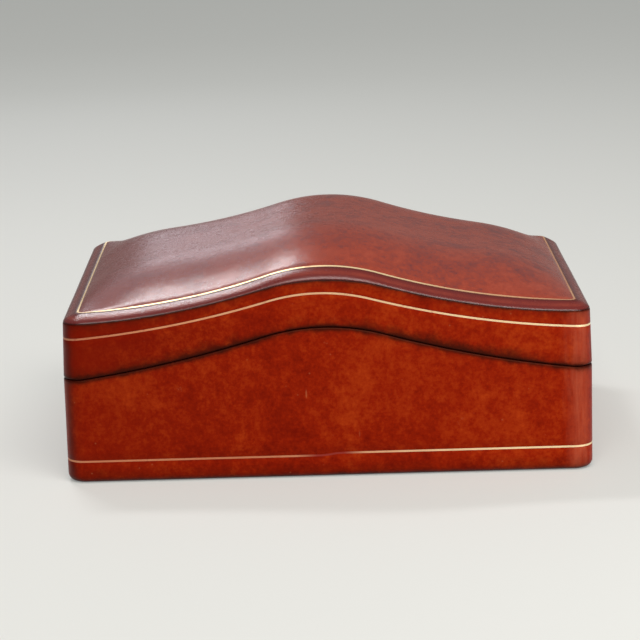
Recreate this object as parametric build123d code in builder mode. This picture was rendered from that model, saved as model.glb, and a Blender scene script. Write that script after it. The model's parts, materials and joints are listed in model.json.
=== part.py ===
"""Leather-covered stationery box with an ogee lid, hinged along the back.

Millimetres. +X is the box's right, +Y its back, +Z up. The origin is on the table, under the middle of
the box. The base is a wooden carcass with a leather jacket, a felt sole and suede linings. Its front wall
rises in an ogee and the lid's front wall is cut to match, while the seam runs level round the sides and
the back, where two brass stop hinges are let into the rims. The lid's top is an ogee from end to end and
swells into a carved crown from front to back.
"""

from build123d import *
import os
from math import copysign, cos, hypot, radians, sin, sqrt, tan

# ---- overall size, over the leather ---------------------------------------------------------------------
box_width = 300.0
box_depth = 220.0
corner_round = 11.0  # upright corners, in plan
foot_round = 4.5  # bottom edge of the base
side_lean = 1.9  # degrees by which the lid's two ends lean inwards

# ---- ogee curves: a crest arc with a hollow flank on each side -------------------------------------------
crest_shift = -1.8  # the crests stand a little left of the middle, at the front
seam_height = 60.5  # level part of the seam, above the table
seam_rise = 26.9  # crest of the seam above its level part
seam_crest_radius = 121.0
seam_crest_spread = 16.3  # degrees of crest arc on each side of the crest
lid_height = 37.3  # seam to the lid's top edge line, at the two ends of the front
lid_rise = 23.2  # crest of the lid's top edge line above its ends
lid_crest_radius = 107.0
lid_crest_spread = 17.4
crest_drift = 6.8  # the lid's crest wanders this far to the right by the back
end_drift = 2.6  # by the back, the lid's left end is this much higher and its right end lower

# ---- crown: the swelling of the top inside its gilt line --------------------------------------------------
crown_rise = 14.3  # above the gilt line, in the middle of the top
crown_end_reach = 54.0  # from the gilt line at the ends to the level part
crown_front_reach = 66.0  # the same at the front and the back
crown_power = 2.25
edge_fall = 4.0  # from the gilt line down to the top's outer edge
surface_step = 5.0  # spacing of the places that a surface is drawn through
surface_margin = 3.0  # the surfaces run past the box by this much
surface_tolerance = 0.02

# ---- thicknesses -----------------------------------------------------------------------------------------
leather = 1.3
rim_leather = 0.8  # pared leather, turned over the rims
board = 8.0  # walls of both carcasses
bottom_board = 6.0
top_board = 6.5  # at its thinnest, inside the gilt line
lining = 1.0  # suede on card
floor_lining = 1.5
felt_proud = 0.3  # the felt sole stands this far below the leather
sole_margin = 14.0  # width of the leather turned in under the base
seam_gap = 0.3  # between the closed rims
lining_reveal = 0.6  # the wall linings stop this far short of the rims
fit_gap = 0.05  # round a piece that drops into a recess

# ---- gilt lines, tooled into the leather -----------------------------------------------------------------
gilt_width = 1.1
gilt_depth = 0.15
base_gilt_height = 13.2
lid_gilt_height = 83.2  # lower edge of the line at the two ends of the front
lid_gilt_rise = 23.4
lid_gilt_radius = 106.5
lid_gilt_spread = 15.6
lid_gilt_shift = -4.0
top_gilt_inset = 8.0  # from the lid's edge, in plan
top_gilt_round = 3.0
top_leather_edge = 5.3  # the top leather ends this far below the level of its gilt line

# ---- hinges ----------------------------------------------------------------------------------------------
hinge_inset = 55.0  # from each end of the box to the middle of a hinge
hinge_length = 30.0
leaf_reach = 9.0  # from the axis into the rim
leaf_thickness = 1.5
barrel_radius = 2.2
barrel_proud = 0.8  # hinge axis behind the back of the box
knuckle_gap = 0.15
middle_knuckle = 12.0
pin_radius = 0.8
pin_clearance = 0.05
heel_reach = 3.4  # radius of the stop heels, about the axis
stop_angle = 95.5  # the two heels meet here
recess_gap = 0.3  # round the barrels, in leather and board
screw_pitch = 9.5
screw_head_radius = 1.7
screw_shank_radius = 0.8
screw_length = 7.5
screw_slot_width = 0.45
screw_slot_depth = 0.4
screw_clearance = 0.03

# ---- sizes that follow -----------------------------------------------------------------------------------
half_width = box_width / 2
half_depth = box_depth / 2
top_half_width = half_width - lid_height * tan(radians(side_lean))
wall = leather + board
rim = wall + lining
carcass_low = felt_proud + leather
floor_level = carcass_low + bottom_board
ceiling_drop = leather + top_board
lid_end = seam_height + lid_height
lid_crest = lid_end + lid_rise
lid_summit = lid_crest + crown_rise
seam_crest = seam_height + seam_rise
hinge_y = half_depth + barrel_proud
hinge_z = seam_height + seam_gap / 2
screw_y = half_depth - leather - board / 2
overrun = 20.0  # cutting blocks run past the box by this much
summit = lid_summit + overrun
surface_drop = 100.0  # depth of the solids under the surfaces


# ---- envelopes -------------------------------------------------------------------------------------------
def ogee(crest_height, foot_height, foot_x, radius, spread):
    """Crest arc and two tangent flanks, drawn in the caller's BuildLine. Returns the two feet."""
    crest = CenterArc((crest_shift, crest_height - radius), radius, 90 - spread, 2 * spread)
    TangentArc(crest @ 0, (foot_x, foot_height), tangent=-(crest % 0))
    TangentArc(crest @ 1, (-foot_x, foot_height), tangent=crest % 1)
    return (-foot_x, foot_height), (foot_x, foot_height)


def block(width, depth, low, high, x=0.0, y=0.0):
    """Upright rectangular block from low to high, centred on (x, y)."""
    with BuildPart() as body:
        with BuildSketch(Plane.XY.offset(low)):
            with Locations((x, y)):
                Rectangle(width, depth)
        extrude(amount=high - low)
    return body.part


def below_seam(rise=0.0):
    """All that lies under the seam, raised by rise: a level block, and an ogee tongue at the front wall."""
    level = seam_height + rise
    level_block = block(box_width + 2 * overrun, box_depth + 2 * overrun, -overrun, level)
    with BuildPart() as body:
        add(level_block)
        with BuildSketch(Plane.XZ.offset(half_depth + overrun)):
            with BuildLine():
                left, right = ogee(
                    seam_crest + rise, level, half_width - rim, seam_crest_radius, seam_crest_spread
                )
                Polyline(left, (left[0], 0), (right[0], 0), right)
            make_face()
        extrude(amount=-(overrun + rim + lining))
    return body.part


def ogee_height(x, crest_height, foot_height, radius, spread, shift):
    """Height at x of the lid's end-to-end ogee."""
    angle = radians(spread)
    away = x - shift
    half_crest = radius * sin(angle)
    if abs(away) <= half_crest:
        return crest_height - radius + sqrt(radius**2 - away**2)
    side = copysign(1, away)
    join_height = crest_height - radius + radius * cos(angle)
    run = half_width - side * shift - half_crest
    fall = join_height - foot_height
    flank = (run**2 + fall**2) / (2 * (run * sin(angle) - fall * cos(angle)))
    along = abs(away) - half_crest - flank * sin(angle)
    return join_height + flank * cos(angle) - sqrt(flank**2 - along**2)


def drawn_height(x, y, curve):
    """Height of an ogee line carried from the front to the back, with its drift."""
    share = (y + half_depth) / box_depth
    return ogee_height(x - crest_drift * share, *curve) - end_drift * share * x / half_width


def swelling(x, y):
    """Height of the crown above the level of the gilt line. It is negative outside that line."""
    slope = crown_rise * crown_power / crown_front_reach
    core_x = top_half_width - top_gilt_inset - top_gilt_round
    core_y = half_depth - top_gilt_inset - top_gilt_round
    outside = hypot(max(abs(x) - core_x, 0), max(abs(y) - core_y, 0)) - top_gilt_round
    if outside > 0:
        return -slope * outside - (edge_fall - slope * top_gilt_inset) * (outside / top_gilt_inset) ** 2
    shares = []
    for edge, reach in (
        (top_half_width - abs(x), crown_end_reach),
        (half_depth - abs(y), crown_front_reach),
    ):
        left = min(max(1 - (edge - top_gilt_inset) / reach, 0), 1)
        shares.append(1 - left**crown_power)
    return crown_rise * shares[0] * shares[1]


top_curve = (lid_crest, lid_end, lid_crest_radius, lid_crest_spread, crest_shift)
gilt_end = lid_gilt_height
gilt_curve = (gilt_end + lid_gilt_rise, gilt_end, lid_gilt_radius, lid_gilt_spread, lid_gilt_shift)


def stations(half_length):
    """Evenly spaced places from one margin to the other."""
    reach = half_length + surface_margin
    count = round(2 * reach / surface_step)
    return [reach * (2 * i / count - 1) for i in range(count + 1)]


def under_surface(curve, drop=0.0, crowned=False):
    """All that lies under a surface of the lid, lowered by drop."""
    rows = []
    for x in stations(half_width):
        rows.append([])
        for y in stations(half_depth):
            height = drawn_height(x, y, curve) - drop + (swelling(x, y) if crowned else 0)
            rows[-1].append((x, y, height))
    surface = Face.make_surface_from_array_of_points(rows, tol=surface_tolerance)
    return Solid.extrude(surface, (0, 0, -surface_drop))


def base_form(inset=0.0):
    """The base's plan drawn in by inset, with the bottom edge rounded, running up past the seam."""
    with BuildPart() as body:
        with BuildSketch(Plane.XY.offset(felt_proud + inset)):
            RectangleRounded(box_width - 2 * inset, box_depth - 2 * inset, corner_round - inset)
        extrude(amount=seam_crest + overrun)
        fillet(body.edges().group_by(Axis.Z)[0], radius=foot_round - inset)
    return body.part


def lid_form(inset=0.0):
    """The lid's outer form drawn in by inset, rounded at its corners, running down past the seam."""
    low = seam_height - overrun
    foot = half_width - inset + overrun * tan(radians(side_lean))
    peak = half_width - inset - (summit - seam_height) * tan(radians(side_lean))
    under_top = under_surface(top_curve, inset, crowned=True)
    with BuildPart() as body:
        with BuildSketch(Plane.XZ):
            with BuildLine():
                Polyline((-foot, low), (foot, low), (peak, summit), (-peak, summit), close=True)
            make_face()
        extrude(amount=half_depth - inset, both=True)
        across = body.faces().sort_by(Axis.X)
        corners = (across[0].edges() + across[-1].edges()).filter_by(Axis.Y, reverse=True)
        fillet(corners, radius=corner_round - inset)
        add(under_top, mode=Mode.INTERSECT)
    return body.part


# Wall places, shared by the boards of the base and of the lid: each is (width, depth, x, y) in plan.
board_places = {
    "front": (box_width, wall, 0, wall / 2 - half_depth),
    "back": (box_width, wall, 0, half_depth - wall / 2),
    "left": (wall, box_depth - 2 * wall, wall / 2 - half_width, 0),
    "right": (wall, box_depth - 2 * wall, half_width - wall / 2, 0),
}
lining_line = wall + lining / 2
lining_places = {
    "front": (box_width - 2 * wall, lining, 0, lining_line - half_depth),
    "back": (box_width - 2 * wall, lining, 0, half_depth - lining_line),
    "left": (lining, box_depth - 2 * rim, lining_line - half_width, 0),
    "right": (lining, box_depth - 2 * rim, half_width - lining_line, 0),
}
hinge_places = {"left": hinge_inset - half_width, "right": half_width - hinge_inset}


# ---- hinges: side is -1 in the base and +1 in the lid -----------------------------------------------------
def rim_face(side):
    """Height of the rim that a leaf lies flush with."""
    return seam_height if side < 0 else seam_height + seam_gap


def rod(radius, length, x):
    """Solid round bar along the hinge axis, centred at x."""
    with BuildPart() as body:
        with BuildSketch(Plane.YZ.offset(x)):
            with Locations((hinge_y, hinge_z)):
                Circle(radius)
        extrude(amount=length / 2, both=True)
    return body.part


def hinge_recess(x, side):
    """Room in a rim for one leaf and the barrels."""
    length = hinge_length + 2 * fit_gap
    depth = leaf_reach + fit_gap + overrun
    y = hinge_y - leaf_reach - fit_gap + depth / 2
    low, high = sorted((rim_face(side) + side * leaf_thickness, rim_face(side) - side * overrun))
    return block(length, depth, low, high, x, y) + rod(barrel_radius + recess_gap, length, x)


def screw_places(x):
    """Middles of one leaf's screws."""
    return [x - screw_pitch, x, x + screw_pitch]


def leaf_screw(x, side, clearance=0.0):
    """Countersunk screw with its head flush in the leaf, or the hole for it when clearance is given."""
    face = rim_face(side)
    head = screw_head_radius + clearance
    shank = screw_shank_radius + clearance
    tip = face + side * (screw_length + clearance)
    neck = face + side * (head - shank)
    slot_low, slot_high = sorted((face, face + side * screw_slot_depth))
    slot = block(2 * head, screw_slot_width, slot_low, slot_high, x, screw_y)
    with BuildPart() as body:
        with BuildSketch(Plane.XZ.offset(-screw_y)):
            with BuildLine():
                Polyline((x, tip), (x, face), (x + head, face), (x + shank, neck))
                Polyline((x + shank, neck), (x + shank, tip), (x, tip))
            make_face()
        revolve(axis=Axis((x, screw_y, 0), (0, 0, 1)))
        if clearance == 0:
            add(slot, mode=Mode.SUBTRACT)
    return body.part


def heel(x, side, length, inner_radius):
    """Stop heel: a sector about the axis, from straight down or up to half the stop angle behind the box."""
    first, last = sorted((side * 90.0, side * stop_angle / 2))
    with BuildPart() as body:
        with BuildSketch(Plane.YZ.offset(x)):
            with BuildLine():
                rim_arc = CenterArc((hinge_y, hinge_z), heel_reach, first, last - first)
                Polyline(rim_arc @ 1, (hinge_y, hinge_z), rim_arc @ 0)
            make_face()
            if inner_radius > 0:
                with Locations((hinge_y, hinge_z)):
                    Circle(inner_radius, mode=Mode.SUBTRACT)
        extrude(amount=length / 2, both=True)
    return body.part


outer_knuckle = (hinge_length - middle_knuckle) / 2 - knuckle_gap
outer_offset = (hinge_length - outer_knuckle) / 2


def knuckle_spans(x, side):
    """Middles and lengths of a leaf's own knuckles: the middle one in the base, the outer two in the lid."""
    if side < 0:
        return [(x, middle_knuckle)]
    return [(x - outer_offset, outer_knuckle), (x + outer_offset, outer_knuckle)]


def hinge_leaf(x, side):
    """One brass leaf with its knuckles and its stop heel, drilled for the pin and the screws."""
    low, high = sorted((rim_face(side), rim_face(side) + side * leaf_thickness))
    inner = barrel_radius + knuckle_gap
    plate = block(hinge_length, leaf_reach, low, high, x, hinge_y - leaf_reach / 2)
    gaps = [rod(inner, length + 2 * knuckle_gap, middle) for middle, length in knuckle_spans(x, -side)]
    stop = heel(x, side, hinge_length, inner)
    knuckles = [rod(barrel_radius, length, middle) for middle, length in knuckle_spans(x, side)]
    knuckle_heels = [heel(middle, side, length, 0) for middle, length in knuckle_spans(x, side)]
    pin_hole = rod(pin_radius + pin_clearance, hinge_length, x)
    screw_holes = [leaf_screw(place, side, screw_clearance) for place in screw_places(x)]
    with BuildPart() as body:
        add(plate)
        add(gaps, mode=Mode.SUBTRACT)
        add([stop, *knuckles, *knuckle_heels])
        add([pin_hole, *screw_holes], mode=Mode.SUBTRACT)
    return body.part


# ---- the pieces ------------------------------------------------------------------------------------------
os.makedirs("parts", exist_ok=True)


def save(piece, name):
    """Label one finished piece and write it."""
    piece.part.label = name
    export_step(piece.part, f"parts/{name}.step")


base_outer = base_form()
base_core = base_form(leather) & below_seam(-rim_leather)
lid_outer = lid_form()
lid_core = lid_form(leather) - below_seam(seam_gap + rim_leather)
under_seam = below_seam()
under_lid_seam = below_seam(seam_gap)
under_top_leather = under_surface(top_curve, top_leather_edge)
under_ceiling_board = under_surface(top_curve, ceiling_drop)
hollow = block(box_width - 2 * wall, box_depth - 2 * wall, floor_level, summit)
recesses = {side: [hinge_recess(x, side) for x in hinge_places.values()] for side in (-1, 1)}
screw_middles = [place for x in hinge_places.values() for place in screw_places(x)]
screw_holes = {side: [leaf_screw(x, side, screw_clearance) for x in screw_middles] for side in (-1, 1)}

# Carcasses
bottom_slab = block(box_width, box_depth, carcass_low, floor_level)
with BuildPart() as base_bottom:
    add(base_core)
    add(bottom_slab, mode=Mode.INTERSECT)
save(base_bottom, "base_bottom")

for name, (width, depth, x, y) in board_places.items():
    slab = block(width, depth, floor_level, summit, x, y)
    with BuildPart() as base_wall:
        add(base_core)
        add(slab, mode=Mode.INTERSECT)
        if name == "back":
            add(recesses[-1] + screw_holes[-1], mode=Mode.SUBTRACT)
    save(base_wall, f"base_{name}")
    with BuildPart() as lid_wall:
        add(lid_core)
        add(slab, mode=Mode.INTERSECT)
        add(under_ceiling_board, mode=Mode.INTERSECT)
        if name == "back":
            add(recesses[1] + screw_holes[1], mode=Mode.SUBTRACT)
    save(lid_wall, f"lid_{name}")

with BuildPart() as lid_top:
    add(lid_core)
    add(under_ceiling_board, mode=Mode.SUBTRACT)
save(lid_top, "lid_top")

# Leather jackets, with the gilt lines pressed in
sole_space = block(box_width - 2 * sole_margin, box_depth - 2 * sole_margin, 0, carcass_low)
base_gilt = block(
    box_width + overrun, box_depth + overrun, base_gilt_height, base_gilt_height + gilt_width
) - base_form(gilt_depth)
with BuildPart() as base_leather:
    add(base_outer)
    add(under_seam, mode=Mode.INTERSECT)
    add([base_core, hollow, sole_space, base_gilt, *recesses[-1]], mode=Mode.SUBTRACT)
save(base_leather, "base_leather")

lid_gilt = under_surface(gilt_curve, -gilt_width) - under_surface(gilt_curve) - lid_form(gilt_depth)
with BuildPart() as lid_leather:
    add(lid_outer)
    add(under_top_leather, mode=Mode.INTERSECT)
    add([under_lid_seam, lid_core, hollow, lid_gilt, *recesses[1]], mode=Mode.SUBTRACT)
save(lid_leather, "lid_leather")

under_top_gilt = under_surface(top_curve, gilt_depth, crowned=True)
top_gilt_width = 2 * (top_half_width - top_gilt_inset)
top_gilt_length = 2 * (half_depth - top_gilt_inset)
with BuildPart() as top_gilt:
    with BuildSketch(Plane.XY.offset(seam_crest)):
        RectangleRounded(top_gilt_width, top_gilt_length, top_gilt_round)
        offset(amount=-gilt_width, mode=Mode.SUBTRACT)
    extrude(amount=summit - seam_crest)
    add(under_top_gilt, mode=Mode.SUBTRACT)
with BuildPart() as lid_top_leather:
    add(lid_outer)
    add([under_top_leather, lid_core, top_gilt.part], mode=Mode.SUBTRACT)
save(lid_top_leather, "lid_top_leather")

sole_trim = 2 * (sole_margin + fit_gap)
sole = block(box_width - sole_trim, box_depth - sole_trim, 0, carcass_low)
with BuildPart() as base_sole:
    add(sole)
save(base_sole, "base_sole")

# Linings
under_base_lining = below_seam(-lining_reveal)
under_lid_lining = below_seam(seam_gap + lining_reveal)
for name, (width, depth, x, y) in lining_places.items():
    sheet = block(width, depth, floor_level, summit, x, y)
    with BuildPart() as base_lining:
        add(sheet)
        add(under_base_lining, mode=Mode.INTERSECT)
    save(base_lining, f"base_lining_{name}")
    with BuildPart() as lid_lining:
        add(sheet)
        add(under_ceiling_board, mode=Mode.INTERSECT)
        add(under_lid_lining, mode=Mode.SUBTRACT)
    save(lid_lining, f"lid_lining_{name}")

with BuildPart() as base_floor:
    with BuildSketch(Plane.XY.offset(floor_level)):
        Rectangle(box_width - 2 * rim, box_depth - 2 * rim)
    extrude(amount=floor_lining)
save(base_floor, "base_lining_floor")

under_ceiling = under_surface(top_curve, ceiling_drop + lining)
with BuildPart() as lid_ceiling:
    with BuildSketch(Plane.XY.offset(seam_height)):
        Rectangle(box_width - 2 * rim, box_depth - 2 * rim)
    extrude(amount=summit - seam_height)
    add(under_ceiling_board, mode=Mode.INTERSECT)
    add(under_ceiling, mode=Mode.SUBTRACT)
save(lid_ceiling, "lid_lining_top")

# Hinges and their screws
for name, x in hinge_places.items():
    leaves = {"base": hinge_leaf(x, -1), "lid": hinge_leaf(x, 1)}
    for body_name, plate in leaves.items():
        with BuildPart() as leaf:
            add(plate)
        save(leaf, f"hinge_{name}_{body_name}_leaf")
    with BuildPart() as pin:
        with BuildSketch(Plane.YZ.offset(x)):
            with Locations((hinge_y, hinge_z)):
                Circle(pin_radius)
        extrude(amount=hinge_length / 2, both=True)
    save(pin, f"hinge_{name}_pin")

for name, side in (("base", -1), ("lid", 1)):
    fasteners = [leaf_screw(x, side) for x in screw_middles]
    with BuildPart() as screws:
        add(fasteners)
    save(screws, f"{name}_screws")
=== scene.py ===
import json
import math

import bmesh
import bpy
from mathutils import Matrix, Vector, noise

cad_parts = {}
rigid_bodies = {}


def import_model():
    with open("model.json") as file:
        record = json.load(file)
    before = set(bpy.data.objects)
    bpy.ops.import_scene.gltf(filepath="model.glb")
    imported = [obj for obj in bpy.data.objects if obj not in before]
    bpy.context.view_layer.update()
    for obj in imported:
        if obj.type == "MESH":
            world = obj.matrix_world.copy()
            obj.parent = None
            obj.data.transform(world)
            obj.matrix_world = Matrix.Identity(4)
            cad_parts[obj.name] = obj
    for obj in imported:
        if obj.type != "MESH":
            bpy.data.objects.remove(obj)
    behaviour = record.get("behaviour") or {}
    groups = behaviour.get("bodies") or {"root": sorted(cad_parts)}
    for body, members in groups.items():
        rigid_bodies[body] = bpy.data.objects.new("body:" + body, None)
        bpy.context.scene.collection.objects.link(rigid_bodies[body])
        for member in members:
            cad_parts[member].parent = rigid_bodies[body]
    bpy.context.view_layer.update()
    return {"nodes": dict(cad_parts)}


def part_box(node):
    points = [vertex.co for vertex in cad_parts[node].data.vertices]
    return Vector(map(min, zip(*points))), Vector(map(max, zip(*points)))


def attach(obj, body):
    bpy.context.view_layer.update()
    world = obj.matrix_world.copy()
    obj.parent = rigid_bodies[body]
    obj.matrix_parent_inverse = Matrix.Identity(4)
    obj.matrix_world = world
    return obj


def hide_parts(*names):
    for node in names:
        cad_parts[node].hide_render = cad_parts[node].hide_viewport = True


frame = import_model()

bl_info = {
    "name": "Leather stationery box",
    "version": (1, 0, 0),
    "blender": (4, 5, 0),
    "location": "View3D > Sidebar > Stationery box",
    "description": "Dresses a hinged stationery box in tooled leather, suede and brass",
    "category": "Add Mesh",
}

MM = 0.001
CORNERS = 10  # segments round each upright corner
FRONT_CUTS, SIDE_CUTS = 61, 39  # cuts along the long and the short sides of a jacket
SAME_PLACE = 1e-5  # metres: vertices closer than this are one
LEVEL = 0.001  # a direction's component below this counts as none
HAND = 0.12 * MM  # how far hand work moves the leather, on the walls
HAND_TOP = 0.15 * MM  # the same on the top
LIP = 0.25 * MM  # slope on each side of the groove of a gilt line
RIM_RINGS = (6.0 * MM, 3.0 * MM, 1.4 * MM)  # rings of vertices this far from a rim


# ---- sizes that come from the frame ----
def place_of(node, axis, side):
    """One coordinate of a CAD node: the low side (0) or the high side (1) along an axis."""
    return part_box(node)[side][axis]


HALF_WIDTH = place_of("base_leather", 0, 1)
HALF_DEPTH = -place_of("base_leather", 1, 0)
FOOT = place_of("base_leather", 2, 0)
SEAM_LEVEL = place_of("lid_leather", 2, 0)
SEAM_CREST = place_of("base_leather", 2, 1)
SUMMIT = place_of("lid_top_leather", 2, 1)
INNER_FACE = HALF_WIDTH - place_of("base_lining_right", 0, 1)


# ---- settings ----
def length(name, description, millimetres):
    """A size property, shown in Blender's length unit."""
    return bpy.props.FloatProperty(
        name=name, description=description, default=millimetres * MM, unit="LENGTH", precision=5
    )


def colour(name, description, *red_green_blue):
    """A linear colour property."""
    return bpy.props.FloatVectorProperty(
        name=name, description=description, default=red_green_blue, subtype="COLOR", min=0.0, max=1.0
    )


def number(name, description, value):
    """A plain number property."""
    return bpy.props.FloatProperty(name=name, description=description, default=value, precision=4)


class StationeryShape(bpy.types.PropertyGroup):
    """Sizes of the leather work."""

    crest_shift: length("Crest shift", "How far the crests stand off the middle, at the front", -1.8)
    seam_gap: length("Seam gap", "Gap between the closed rims", 0.3)
    seam_radius: length("Seam crest radius", "Radius of the seam's crest", 121.0)
    seam_spread: number("Seam crest spread", "Degrees of crest arc on each side", 16.3)
    top_rise: length("Top rise", "Crest of the lid's top edge line above its ends", 23.2)
    top_radius: length("Top crest radius", "Radius of the lid's crest", 107.0)
    top_spread: number("Top crest spread", "Degrees of crest arc on each side", 17.4)
    crest_drift: length("Crest drift", "How far the lid's crest wanders to the right by the back", 6.8)
    end_drift: length("End drift", "Rise of the lid's left end by the back, and fall of its right end", 2.6)
    crown_rise: length("Crown rise", "Rise of the top inside its gilt line", 14.3)
    crown_end_reach: length("Crown end reach", "From the gilt line at the ends to the level part", 48.0)
    crown_front_reach: length("Crown front reach", "The same at the front and the back", 66.0)
    crown_power: number("Crown power", "How quickly the crown flattens", 2.25)
    edge_fall: length("Edge fall", "Drop from the top's gilt line to its lower edge", 5.0)
    edge_slope: length("Edge slope", "Part of that drop that is a plain slope", 3.1)
    crest_dip: length("Crest dip", "How much further the lower edge drops at the crest", 1.5)
    corner: length("Corner radius", "Radius of the upright corners", 11.0)
    foot_round: length("Foot radius", "Radius along the bottom edge", 4.5)
    lean: number("End lean", "Degrees by which the lid's ends lean inwards", 1.9)
    rim_round: length("Rim radius", "Radius of the turned leather along the rims", 1.1)
    shell: length("Shell", "Thickness of the modelled leather", 0.5)
    turn_in: length("Turn-in", "Width of the leather turned in under the base", 14.0)
    gilt_width: length("Gilt width", "Width of the gilt lines", 1.1)
    gilt_depth: length("Gilt depth", "Depth of the groove that a gilt line lies in", 0.15)
    base_gilt: length("Base gilt height", "Height of the base's gilt line above the table", 13.2)
    base_gilt_step: length("Base gilt step", "Height of the line's right stroke above its left one", 1.2)
    lid_gilt: length("Lid gilt height", "Height of the lid's gilt line at its two ends", 83.2)
    lid_gilt_rise: length("Lid gilt rise", "Crest of the lid's gilt line above its ends", 23.4)
    lid_gilt_radius: length("Lid gilt radius", "Radius of the crest of the lid's gilt line", 106.5)
    lid_gilt_spread: number("Lid gilt spread", "Degrees of crest arc on each side", 15.6)
    lid_gilt_shift: length("Lid gilt shift", "How far the line's crest stands off the middle", -4.0)
    top_gilt: length("Top gilt inset", "Inset of the gilt line on the top", 8.0)
    top_gilt_round: length("Top gilt corner", "Radius of the corners of that line", 4.1)


class StationeryFinish(bpy.types.PropertyGroup):
    """Colours of the finishes."""

    chestnut_light: colour("Chestnut, light", "Rubbed parts of the wall leather", 0.40, 0.038, 0.004)
    chestnut: colour("Chestnut", "Body colour of the wall leather", 0.27, 0.011, 0.001)
    chestnut_dark: colour("Chestnut, dark", "Shaded parts of the wall leather", 0.17, 0.004, 0.0005)
    # This colour paints the reflection of a pale vertical sheen down the right corners of the wall leather.
    chestnut_sheen: colour("Chestnut, worn", "Handled corner of the wall leather", 0.42, 0.085, 0.042)
    # This colour darkens edges where burnishing darkened them, and also paints shade along the seam, under
    # the foot, round the left corners, under the top's edge and beside its gilt groove.
    burnish_and_shade: colour("Burnish", "Burnished edges", 0.034, 0.003, 0.0015)
    chestnut_scuff: colour("Chestnut, scuffed", "Rubs and nicks in the wall leather", 0.60, 0.24, 0.10)
    # This colour is the top leather's lighter tone, and also the colour of a painted highlight along its
    # rolled edge.
    oxblood_light: colour("Oxblood, light", "Rubbed parts of the top leather", 0.38, 0.066, 0.034)
    oxblood: colour("Oxblood", "Body colour of the top leather", 0.29, 0.043, 0.022)
    oxblood_dark: colour("Oxblood, dark", "Shaded parts of the top leather", 0.15, 0.031, 0.030)
    # This colour paints shade on the rolled edge of the top leather, which turns away from the light.
    oxblood_edge: colour("Oxblood, edge", "Rolled edge of the top leather", 0.13, 0.013, 0.012)
    oxblood_scuff: colour("Oxblood, scuffed", "Rubs and nicks in the top leather", 0.50, 0.26, 0.18)
    gold: colour("Gold", "Bright gilt", 1.0, 0.77, 0.45)
    old_gold: colour("Old gold", "Gilt that has reddened", 0.72, 0.28, 0.13)
    suede: colour("Suede", "Linings", 0.46, 0.31, 0.18)
    felt: colour("Felt", "Sole", 0.05, 0.09, 0.055)
    brass: colour("Brass", "Hinges and screws", 0.78, 0.55, 0.25)
    wood: colour("Wood", "Carcass boards", 0.60, 0.42, 0.25)


class StationeryStudio(bpy.types.PropertyGroup):
    """Camera and light."""

    eye: bpy.props.FloatVectorProperty(
        name="Camera", description="Place of the camera", default=(0.00312, -1.4679, 0.39656), subtype="XYZ"
    )
    yaw: number("Yaw", "Degrees that the camera turns right", -0.280)
    pitch: number("Pitch", "Degrees that the camera looks down", 12.647)
    roll: number("Roll", "Degrees that the camera tilts", -1.668)
    lens: number("Focal length", "Millimetres, on a 36 mm sensor", 139.745)
    floor: colour("Floor", "Floor of the studio", 0.50, 0.50, 0.48)
    glow: colour("Glow", "Even light that the floor is seen with", 0.26, 0.265, 0.255)
    far: colour("Far wall", "Tone seen beyond the floor", 0.40, 0.405, 0.39)
    air: colour("Air", "Soft light from all round", 0.20, 0.205, 0.20)


# ---- curves of the box ----
def ogee(crest, foot, reach, radius, spread, shift):
    """A crest arc with a hollow flank on each side, as a function that gives the height at x."""
    spread = math.radians(spread)
    half_crest = radius * math.sin(spread)
    join = crest - radius * (1 - math.cos(spread))

    def height(x):
        """Height of the curve at x."""
        if abs(x) >= reach:
            return foot
        away = x - shift
        if abs(away) <= half_crest:
            return crest - radius + math.sqrt(radius**2 - away**2)
        side = math.copysign(1.0, away)
        run = reach - side * shift - half_crest
        fall = join - foot
        upward = run * math.sin(spread) - fall * math.cos(spread)
        flank = (run**2 + fall**2) / (2 * upward)
        along = abs(away) - half_crest - flank * math.sin(spread)
        return join + flank * math.cos(spread) - math.sqrt(flank**2 - along**2)

    return height


def shape():
    """The scene's shape settings."""
    return bpy.context.scene.stationery_shape


def finish():
    """The scene's finish settings."""
    return bpy.context.scene.stationery_finish


def seam_curve():
    """The seam, as the top of the base's front wall."""
    s = shape()
    level = SEAM_LEVEL - s.seam_gap
    inside_walls = 1.0 * MM
    reach = HALF_WIDTH - INNER_FACE - inside_walls
    return ogee(SEAM_CREST, level, reach, s.seam_radius, s.seam_spread, s.crest_shift)


def top_curve():
    """The lid's top edge line, from end to end."""
    s = shape()
    crest = SUMMIT - s.crown_rise
    return ogee(crest, crest - s.top_rise, HALF_WIDTH, s.top_radius, s.top_spread, s.crest_shift)


def gilt_curve():
    """The lower edge of the lid's gilt line."""
    s = shape()
    crest = s.lid_gilt + s.lid_gilt_rise
    return ogee(crest, s.lid_gilt, HALF_WIDTH, s.lid_gilt_radius, s.lid_gilt_spread, s.lid_gilt_shift)


def share_of(value):
    """Value kept between 0 and 1."""
    return min(max(value, 0.0), 1.0)


def clamp(value, limit):
    """Value kept between -limit and limit."""
    return max(-limit, min(limit, value))


def share_back(y):
    """Share of the way from the front of the box to its back."""
    return (y + HALF_DEPTH) / (2 * HALF_DEPTH)


def drawn_height(x, y, curve):
    """Height of a curve of the lid, carried from the front to the back with its drift."""
    s = shape()
    back = share_back(y)
    return curve(x - s.crest_drift * back) - s.end_drift * back * x / HALF_WIDTH


def edge_fall(x, y):
    """Drop from the lid's top edge line to the lower edge of the top's leather."""
    s = shape()
    curve = top_curve()
    crest = (curve(x - s.crest_drift * share_back(y)) - curve(HALF_WIDTH)) / s.top_rise
    return s.edge_fall + s.crest_dip * crest**4


def top_half_width():
    """Half the lid's width at its top edge line."""
    end = top_curve()(HALF_WIDTH)
    return HALF_WIDTH - lean_in(end)


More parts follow.
